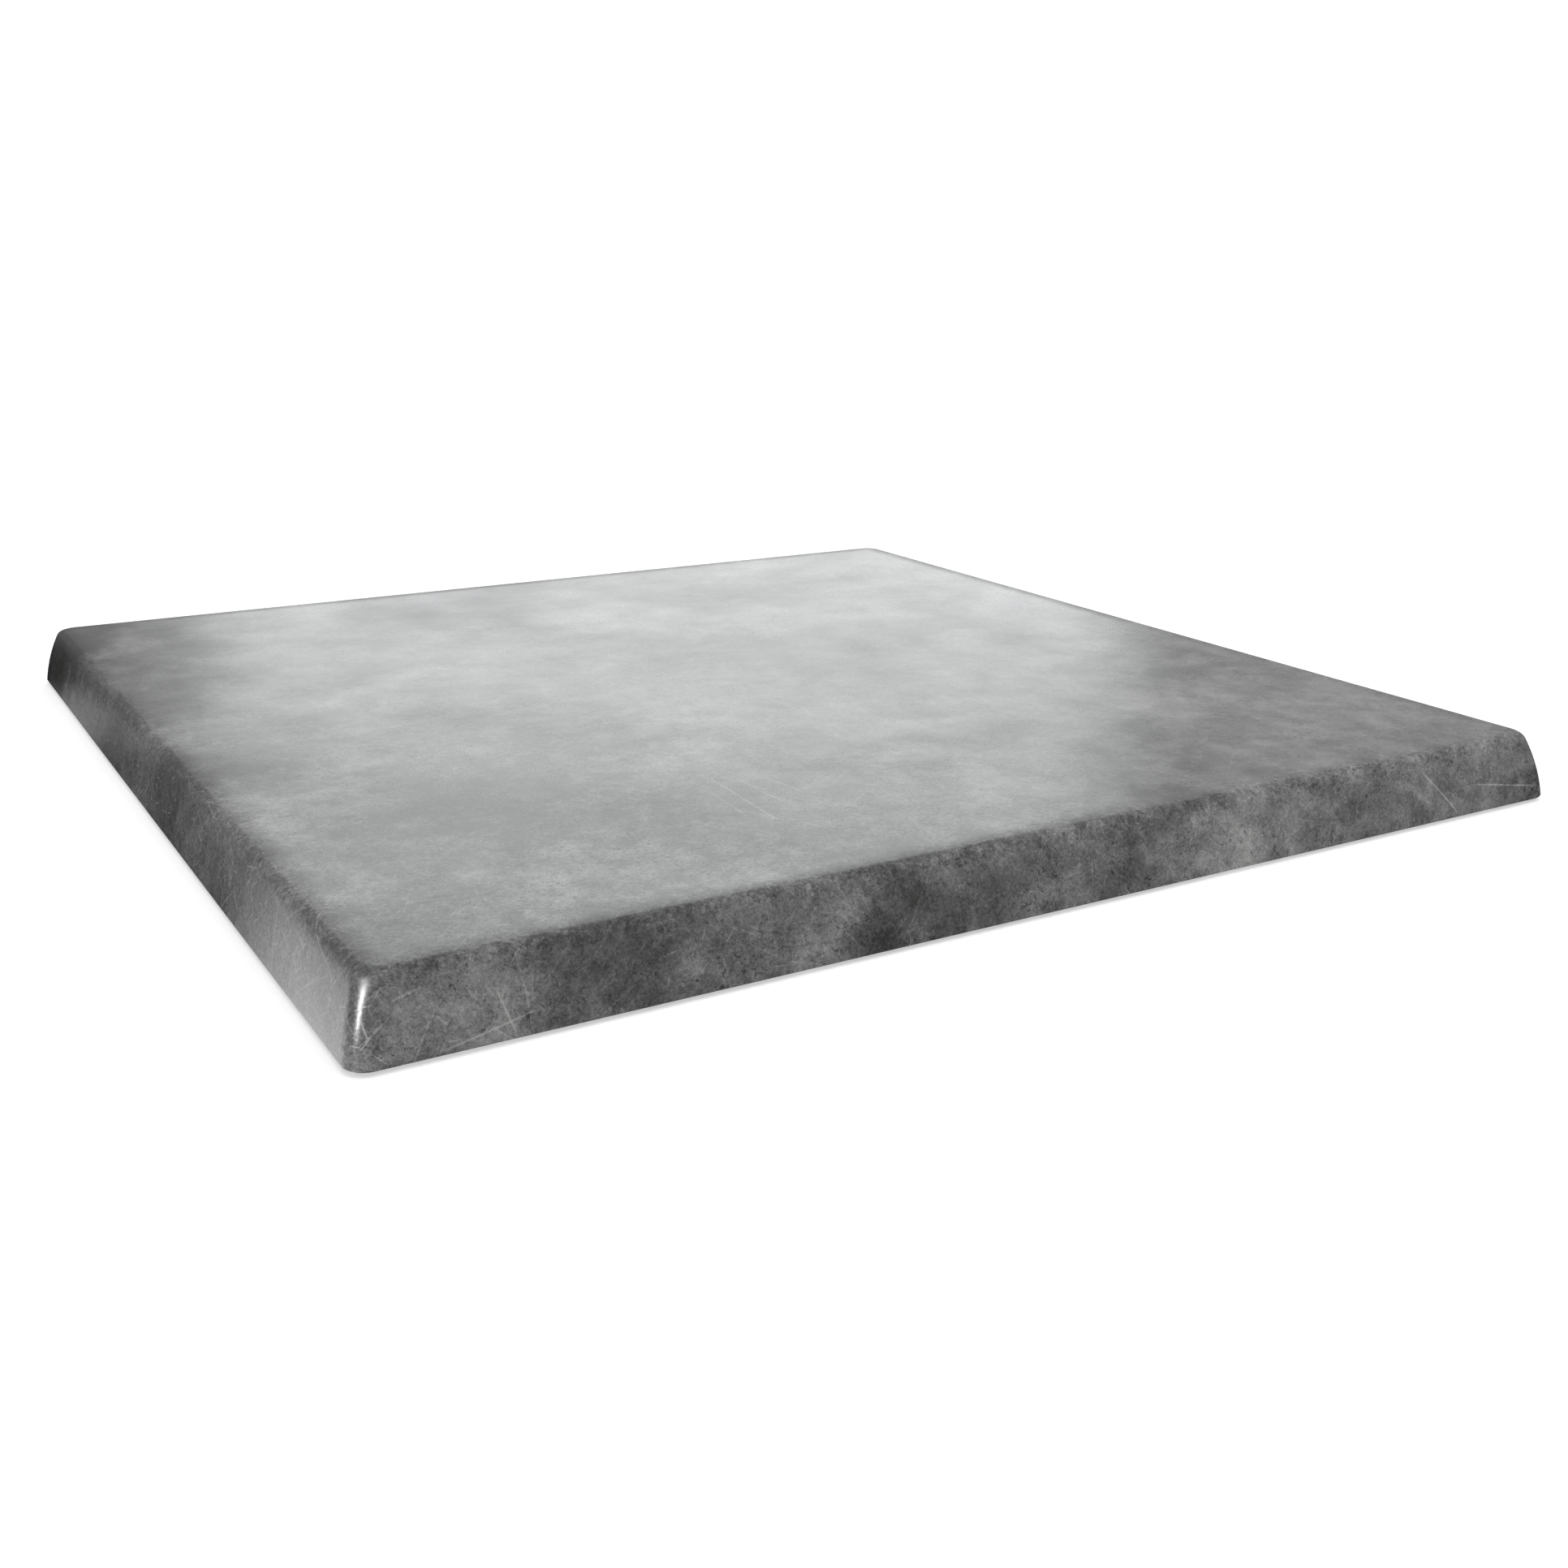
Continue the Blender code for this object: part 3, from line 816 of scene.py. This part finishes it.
# %% Edge wear, roughness and bump
ROLL_BEGINS = (277.0, 289.5)  # outward, in mm
TOP_BEGINS = (26.0, 31.5)  # height, in mm
CORNER_BEGINS = (575.0, 592.0)  # the two distances from the middle added up, in mm
SCUFF_SIZE = 2.4
POLISHED, WIPED = 0.25, 0.34
HAIRS_DULL, ROLL_DULLS, CORNER_SHINES = 0.25, 0.17, -0.07
PRESS_TEXTURE = 0.00004

over_roll = add_node(tree, "MapRange", SMOOTH, Value=outward, _1=ROLL_BEGINS[0], _2=ROLL_BEGINS[1])
near_top = add_node(tree, "MapRange", SMOOTH, Value=parts_of.outputs["Z"], _1=TOP_BEGINS[0],
                    _2=TOP_BEGINS[1])
at_corner = add_node(tree, "MapRange", SMOOTH, Value=sum_out, _1=CORNER_BEGINS[0],
                     _2=CORNER_BEGINS[1])
roll_band = add_node(tree, "Math", "MULTIPLY", _0=over_roll, _1=near_top)
worn_place = add_node(tree, "Math", "MAXIMUM", _0=roll_band, _1=at_corner)
scuff_noise = add_node(tree, "TexNoise", Vector=mm, Scale=1 / SCUFF_SIZE, Detail=5.0,
                       Roughness=0.75)
scuffs = add_node(tree, "MapRange", Value=scuff_noise, _1=0.36, _2=0.66, _3=-0.20, _4=0.16)
tone = add_node(tree, "Math", "MULTIPLY_ADD", _0=scuffs, _1=worn_place, _2=tone)

print_colour = add_node(tree, "ValToRGB", Fac=tone)
set_ramp(print_colour, [(0.0, "#2F2F2E"), (0.34, "#565756"), (0.58, "#747574"), (1.0, "#A0A19F")])

wiped = add_node(tree, "TexNoise", Vector=mm, Scale=1 / 60.0, Detail=3.0, Roughness=0.6)
gloss = add_node(tree, "MapRange", Value=wiped, _1=0.3, _2=0.7, _3=POLISHED, _4=WIPED)
for mask, change in ((hairs, HAIRS_DULL), (roll_band, ROLL_DULLS), (at_corner, CORNER_SHINES)):
    gloss = add_node(tree, "Math", "MULTIPLY_ADD", _0=mask, _1=change, _2=gloss)

relief = add_node(tree, "Bump", Height=finest_grain, Strength=1.0, Distance=PRESS_TEXTURE)
connect(tree, shader, print_colour.outputs["Color"], gloss.outputs[0], relief.outputs[0])
paint(decor_skin, stone)
print("stone decor:", len(tree.nodes), "nodes")

# %% [markdown]
# ### Pressed wood chips
# The core shows in a narrow strip under the lip, between the two skins. It is planer shavings
# and resin, pressed so hard that it is almost smooth: flat chips a few millimetres long, each
# its own brown, with dark resin in the seams. Voronoi cells stretched along one way are chips.

# %% Make the core's finish
core_finish, tree, shader, mm = new_material("pressed_wood_chips", 0.7)
shader.inputs["IOR"].default_value = RESIN_IOR
lie = add_node(tree, "Mapping", Vector=mm, Rotation=(0, 0, radians(33)), Scale=(0.24, 0.75, 0.75))
lie_noise = add_node(tree, "TexNoise", Vector=mm, Scale=1 / 6.0, Detail=2.0)
lie = add_node(tree, "VectorMath", "ADD", _0=lie, _1=lie_noise.outputs["Color"])
chips = add_node(tree, "TexVoronoi", Vector=lie, Scale=1.0)
seams = add_node(tree, "TexVoronoi", {"feature": "DISTANCE_TO_EDGE"}, Vector=lie, Scale=1.0)
chip_tone = add_node(tree, "SeparateXYZ", Vector=chips.outputs["Color"])
fibre = add_node(tree, "TexNoise", Vector=lie, Scale=5.0, Detail=3.0)
chip_tone = add_node(tree, "Math", "MULTIPLY_ADD", _0=fibre, _1=0.4, _2=chip_tone)
chip_colour = add_node(tree, "ValToRGB", Fac=chip_tone)
set_ramp(chip_colour, [(0.15, "#4E3826"), (0.55, "#6E543A"), (0.95, "#8A6D4C"), (1.0, "#9A7C58")])
seam = add_node(tree, "MapRange", Value=seams.outputs["Distance"], _1=0.0, _2=0.10)
dark = add_node(tree, "Mix", {"data_type": "RGBA"}, _0=seam, _6=linear("#3A2A1D"),
                _7=chip_colour.outputs["Color"])
dull = add_node(tree, "MapRange", Value=fibre, _1=0.3, _2=0.7, _3=0.6, _4=0.8)
chip_relief = add_node(tree, "Bump", Height=seam, Strength=0.6, Distance=0.00008)
connect(tree, shader, dark.outputs[2], dull.outputs[0], chip_relief.outputs[0])
paint(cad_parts["core_board"], core_finish)

# %% [markdown]
# ### Matt balancing film
# A resin-soaked paper, pressed on like the decor but printed plain dark grey. It keeps a fine
# paper tooth of about half a millimetre, slightly cloudy colour, and pale rub marks where
# table bases and stacked boards have slid over it.

# %% Make the film's finish
film_finish, tree, shader, mm = new_material("matt_balancing_film", 0.55)
shader.inputs["IOR"].default_value = RESIN_IOR
tooth = add_node(tree, "TexNoise", Vector=mm, Scale=1 / 0.7, Detail=3.0, Roughness=0.65)
cloudy = add_node(tree, "TexNoise", Vector=mm, Scale=1 / 48.0, Detail=4.0, Roughness=0.6)
rub_way = add_node(tree, "Mapping", Vector=mm, Rotation=(0, 0, radians(28)),
                   Scale=(0.012, 0.35, 0.35))
rub = add_node(tree, "TexNoise", Vector=rub_way, Scale=1.0, Detail=4.0, Roughness=0.7)
rub_marks = add_node(tree, "MapRange", Value=rub, _1=0.60, _2=0.74)
film_tone = 0.0
for layer, share in ((tooth, 0.35), (cloudy, 0.65), (rub_marks, 0.22)):
    film_tone = add_node(tree, "Math", "MULTIPLY_ADD", _0=layer, _1=share, _2=film_tone)
film_colour = add_node(tree, "ValToRGB", Fac=film_tone)
set_ramp(film_colour, [(0.30, "#303132"), (0.55, "#3C3D3E"), (0.85, "#555657")])
film_gloss = add_node(tree, "MapRange", Value=film_tone, _1=0.3, _2=0.8, _3=0.5, _4=0.64)
film_relief = add_node(tree, "Bump", Height=tooth, Strength=0.8, Distance=0.00004)
connect(tree, shader, film_colour.outputs["Color"], film_gloss.outputs[0], film_relief.outputs[0])
paint(film_skin, film_finish)

# %% [markdown]
# ### Turned brass
# The lathe leaves rings round each socket's axis, a few tenths of a millimetre apart, and air
# tarnishes brass in brownish patches. The four sockets mirror each other about the board's
# middle, so folding the coordinates onto one quarter centres one set of rings on all four.

# %% Make the brass
brass, tree, shader, mm = new_material("turned_brass", 0.3, 1.0)
fold = add_node(tree, "VectorMath", "ABSOLUTE", _0=mm)
socket_x, socket_y = insert_centres["back_right"]
fold = add_node(tree, "VectorMath", "SUBTRACT", _0=fold, _1=(socket_x / MM, socket_y / MM, 0))
lathe = add_node(tree, "TexWave", {"wave_type": "RINGS", "rings_direction": "Z"}, Vector=fold,
                 Scale=0.9, Distortion=0.4, Detail=2.0)
tarnish = add_node(tree, "TexNoise", Vector=mm, Scale=1 / 3.5, Detail=4.0, Roughness=0.6)
brass_tone = add_node(tree, "Math", "MULTIPLY_ADD", _0=lathe.outputs["Fac"], _1=0.2, _2=tarnish)
brass_colour = add_node(tree, "ValToRGB", Fac=brass_tone)
set_ramp(brass_colour, [(0.35, "#9C7C48"), (0.6, "#CDAC70"), (0.9, "#E0C48C")])
brass_gloss = add_node(tree, "MapRange", Value=tarnish, _1=0.3, _2=0.7, _3=0.42, _4=0.24)
rings = add_node(tree, "Bump", Height=lathe.outputs["Fac"], Strength=0.7, Distance=0.00002)
connect(tree, shader, brass_colour.outputs["Color"], brass_gloss.outputs[0], rings.outputs[0])
for piece in sockets:
    paint(piece, brass)

# %% [markdown]
# ### Moulded elastomer
# The pads come from a spark-eroded mould, which leaves an even, pitted skin, and their feet
# carry grey dust from the floor. The dust is a height: it fades out a millimetre up.

# %% Make the elastomer
elastomer, tree, shader, mm = new_material("moulded_elastomer", 0.75)
pits = add_node(tree, "TexNoise", Vector=mm, Scale=1 / 0.35, Detail=3.0, Roughness=0.6)
dust_noise = add_node(tree, "TexNoise", Vector=mm, Scale=1 / 3.0, Detail=4.0, Roughness=0.7)
foot_height = add_node(tree, "SeparateXYZ", Vector=mm)
low_down = add_node(tree, "MapRange", Value=foot_height.outputs["Z"], _1=1.0, _2=0.0)
dust = add_node(tree, "MapRange", Value=dust_noise, _1=0.42, _2=0.66)
dust = add_node(tree, "Math", "MULTIPLY", _0=dust, _1=low_down)
pad_tone = add_node(tree, "Math", "MULTIPLY_ADD", _0=pits, _1=0.4, _2=dust)
pad_colour = add_node(tree, "ValToRGB", Fac=pad_tone)
set_ramp(pad_colour, [(0.1, "#222223"), (0.4, "#2D2D2E"), (1.0, "#5A5856")])
pad_gloss = add_node(tree, "MapRange", Value=dust_noise, _1=0.3, _2=0.7, _3=0.68, _4=0.85)
pitting = add_node(tree, "Bump", Height=pits, Strength=0.8, Distance=0.00003)
connect(tree, shader, pad_colour.outputs["Color"], pad_gloss.outputs[0], pitting.outputs[0])
for piece in pads:
    paint(piece, elastomer)

# %% [markdown]
# ## Floor and backdrop
# A plain pale floor and a white backdrop, as in a small product studio. The floor glows a
# little, more so further off, so that it meets the backdrop without a seam and still takes a
# soft shadow beside the slab. Both are hidden from gloss, because a studio keeps black card
# round such a slab: white mirrored in its sides would wash the stone out.


# %% Build the studio's floor and backdrop
def stage_material(name, hex_colour, glow):
    """One-colour material for things that aren't part of the object."""
    material = bpy.data.materials.new(name)
    material.use_nodes = True
    shader = material.node_tree.nodes["Principled BSDF"]
    shader.inputs["Base Color"].default_value = linear(hex_colour)
    shader.inputs["Roughness"].default_value = 0.9
    shader.inputs["Specular IOR Level"].default_value = 0.0
    shader.inputs["Emission Color"].default_value = (1, 1, 1, 1)
    shader.inputs["Emission Strength"].default_value = glow
    return material


FLOOR_GLOW = 0.5
GLOW_GROWS = (0.7, 3.0)  # from and to, in metres from the slab's middle
ROOM_RADIUS = 14.0
ROOM_STEPS = 96
BACKDROP_HEIGHT = 12.0
BELOW_FLOOR = 0.1
floor_finish = stage_material("pale_floor", "#D4D4D4", FLOOR_GLOW)
tree = floor_finish.node_tree
floor_place = add_node(tree, "TexCoord")
far = add_node(tree, "VectorMath", "LENGTH", _0=floor_place.outputs["Object"])
far_glow = add_node(tree, "MapRange", SMOOTH, Value=far.outputs["Value"], _1=GLOW_GROWS[0],
                    _2=GLOW_GROWS[1], _3=FLOOR_GLOW, _4=1.0)
tree.links.new(far_glow.outputs[0], tree.nodes["Principled BSDF"].inputs["Emission Strength"])

to_object_mode()
bpy.ops.mesh.primitive_circle_add(vertices=ROOM_STEPS, radius=ROOM_RADIUS, fill_type="NGON")
floor = bpy.context.active_object
floor.name = "studio_floor"
paint(floor, floor_finish)
to_object_mode()
bpy.ops.mesh.primitive_cylinder_add(
    vertices=ROOM_STEPS, radius=ROOM_RADIUS, depth=BACKDROP_HEIGHT, end_fill_type="NOTHING",
    location=(0, 0, BACKDROP_HEIGHT / 2 - BELOW_FLOOR),
)
backdrop = bpy.context.active_object
backdrop.name = "studio_backdrop"
paint(backdrop, stage_material("white_backdrop", "#FFFFFF", 1.0))
backdrop.visible_diffuse = False
for surface in (floor, backdrop):
    surface.visible_glossy = False
backdrop.visible_shadow = False

# %% [markdown]
# A dark card lies on the floor beside the left side, and only gloss sees it. It gives off its own
# light, as a lamp would: brightly at its front end, and as a dimmer stripe further back. Both run
# slantwise, so that the side grows brighter towards the front corner over its whole height, and
# shows a soft slanting band towards its back, as beside the bright and dark things of a real room.

# %% Lay the graded card
CARD_PLACE = (-0.647, 0.0, 0.0008)
CARD_SIZE = (0.7, 1.6)
CARD_GLOW = 1.75
STRIPE_GLOW = 0.32
SLANT = (2.05, 1.0, 0.0)  # the way along which the card grows darker
WHITE_BEGINS = (-0.745, -0.875)  # along the slant, as are the next two
STRIPE_PLACE = -0.42
STRIPE_HALF = (0.11, 0.01)
to_object_mode()
bpy.ops.mesh.primitive_plane_add(size=1, location=CARD_PLACE)
card = bpy.context.active_object
card.name = "graded_card"
card.scale = (*CARD_SIZE, 1)
place_in_mesh(card)
# the card is black and gives off its own light, like a lamp that only gloss sees
card_finish = stage_material("glowing_card", "#000000", CARD_GLOW)
tree = card_finish.node_tree
card_place = add_node(tree, "TexCoord")
slant = add_node(tree, "VectorMath", "DOT_PRODUCT", _0=card_place.outputs["Object"], _1=SLANT)
grade = add_node(tree, "MapRange", Value=slant.outputs["Value"], _1=WHITE_BEGINS[0],
                 _2=WHITE_BEGINS[1], _3=0.0, _4=CARD_GLOW)
off_stripe = add_node(tree, "Math", "SUBTRACT", _0=slant.outputs["Value"], _1=STRIPE_PLACE)
off_stripe = add_node(tree, "Math", "ABSOLUTE", _0=off_stripe)
stripe = add_node(tree, "MapRange", SMOOTH, Value=off_stripe, _1=STRIPE_HALF[0],
                  _2=STRIPE_HALF[1], _3=0.0, _4=STRIPE_GLOW)
grade = add_node(tree, "Math", "ADD", _0=grade, _1=stripe)
tree.links.new(grade.outputs[0], tree.nodes["Principled BSDF"].inputs["Emission Strength"])
paint(card, card_finish)
card.visible_camera = False
card.visible_diffuse = False
card.visible_shadow = False

# %% [markdown]
# ## Light
# A dim grey room, a wide soft light overhead, and a tall window-like softbox behind the slab,
# whose mirror image makes the broad sheen on the worktop. It has three panes, brightest at the
# bottom, because the far half of the worktop mirrors the lower pane and is the brighter one.
# A narrow lamp at the left draws the bright line down the near corner.


# %% Place the lights
def area_light(name, place, target, size, size_y, radiance, diffuse=True, glossy=True):
    """Rectangular light of an even radiance, turned to a target."""
    data = bpy.data.lights.new(name, "AREA")
    data.shape = "RECTANGLE"
    data.size = size
    data.size_y = size_y
    data.energy = radiance * size * size_y * pi
    lamp = bpy.data.objects.new(name, data)
    bpy.context.scene.collection.objects.link(lamp)
    lamp.location = place
    lamp.rotation_euler = (Vector(target) - Vector(place)).to_track_quat("-Z", "Y").to_euler()
    lamp.visible_camera = False
    lamp.visible_diffuse = diffuse
    lamp.visible_glossy = glossy
    print(name, "of", size, "x", size_y, "m")
    return lamp


CAMERA_PLACE = Vector((-0.44060, -0.81134, 0.26699))


def from_camera(azimuth_degrees, distance, z):
    """A place at an azimuth, anticlockwise from +X, and a distance from under the camera."""
    azimuth = radians(azimuth_degrees)
    return (CAMERA_PLACE.x + distance * cos(azimuth), CAMERA_PLACE.y + distance * sin(azimuth), z)


area_light("overhead_softbox", (0.2, -0.5, 2.6), (0, 0, 0), 3.6, 3.6, 1.5, glossy=False)
WINDOW_AZIMUTH = 63.15
WINDOW_DISTANCE = 3.4
WINDOW_WIDTH = 1.816
DAYLIGHT = (0.985, 1.0, 1.01)
WINDOW_PANES = [  # name, height of its middle, its own height, radiance
    ("lower", 0.45, 0.80, 1.72),
    ("middle", 1.1, 0.50, 1.45),
    ("upper", 1.95, 1.20, 1.0),
]
for name, z, high, radiance in WINDOW_PANES:
    place = from_camera(WINDOW_AZIMUTH, WINDOW_DISTANCE, z)
    pane = area_light(
        "window_softbox_" + name, place, (-0.2, -0.3, z), WINDOW_WIDTH, high, radiance
    )
    pane.data.color = DAYLIGHT
area_light("corner_lamp", (-0.851, -0.537, 0.32), (-0.3, -0.3, 0.02), 0.08, 0.34, 100.0,
           diffuse=False)

# %% [markdown]
# The room itself is dim and grey above the horizon and almost dark below it, so that the sides
# still show their print where no lamp is mirrored. A white world would wash them out.

# %% The room's own dim light
ROOM_BELOW, ROOM_ABOVE = 0.06, 0.46
HORIZON = 0.06  # how softly the two meet
world = bpy.data.worlds.new("studio_room")
bpy.context.scene.world = world
world.use_nodes = True
tree = world.node_tree
direction = add_node(tree, "TexCoord")
height = add_node(tree, "SeparateXYZ", Vector=direction.outputs["Generated"])
rising_light = add_node(tree, "MapRange", SMOOTH,
                        Value=height.outputs["Z"], _1=-HORIZON, _2=HORIZON, _3=ROOM_BELOW,
                        _4=ROOM_ABOVE)
tree.links.new(rising_light.outputs[0], tree.nodes["Background"].inputs["Color"])
print("room light from", ROOM_BELOW, "below to", ROOM_ABOVE, "above")

# %% [markdown]
# ## Camera
# The slab is seen from above its near corner, from about its own width away, with a normal
# lens. The rotation is written out as the camera's own axes.

# %% Place the camera
VIEW_YAW = 0.53653
VIEW_PITCH = 0.31002
VIEW_ROLL = 0.00748
LENS = 40.206
forward = Vector(
    (sin(VIEW_YAW) * cos(VIEW_PITCH), cos(VIEW_YAW) * cos(VIEW_PITCH), -sin(VIEW_PITCH))
)
level = Vector((cos(VIEW_YAW), -sin(VIEW_YAW), 0.0))
above = level.cross(forward)
side_axis = cos(VIEW_ROLL) * level + sin(VIEW_ROLL) * above
up_axis = -sin(VIEW_ROLL) * level + cos(VIEW_ROLL) * above
camera_data = bpy.data.cameras.new("product_camera")
camera_data.sensor_width = 36.0
camera_data.lens = LENS
camera_data.clip_start = 0.01
camera_data.clip_end = 100.0
camera = bpy.data.objects.new("product_camera", camera_data)
bpy.context.scene.collection.objects.link(camera)
turn = Matrix((side_axis, up_axis, -forward)).transposed()
camera.matrix_world = Matrix.Translation(CAMERA_PLACE) @ turn.to_4x4()
bpy.context.scene.camera = camera
bpy.context.scene.view_settings.view_transform = "Standard"
print("camera", round(CAMERA_PLACE.length, 3), "m from the slab's middle, lens", LENS, "mm")
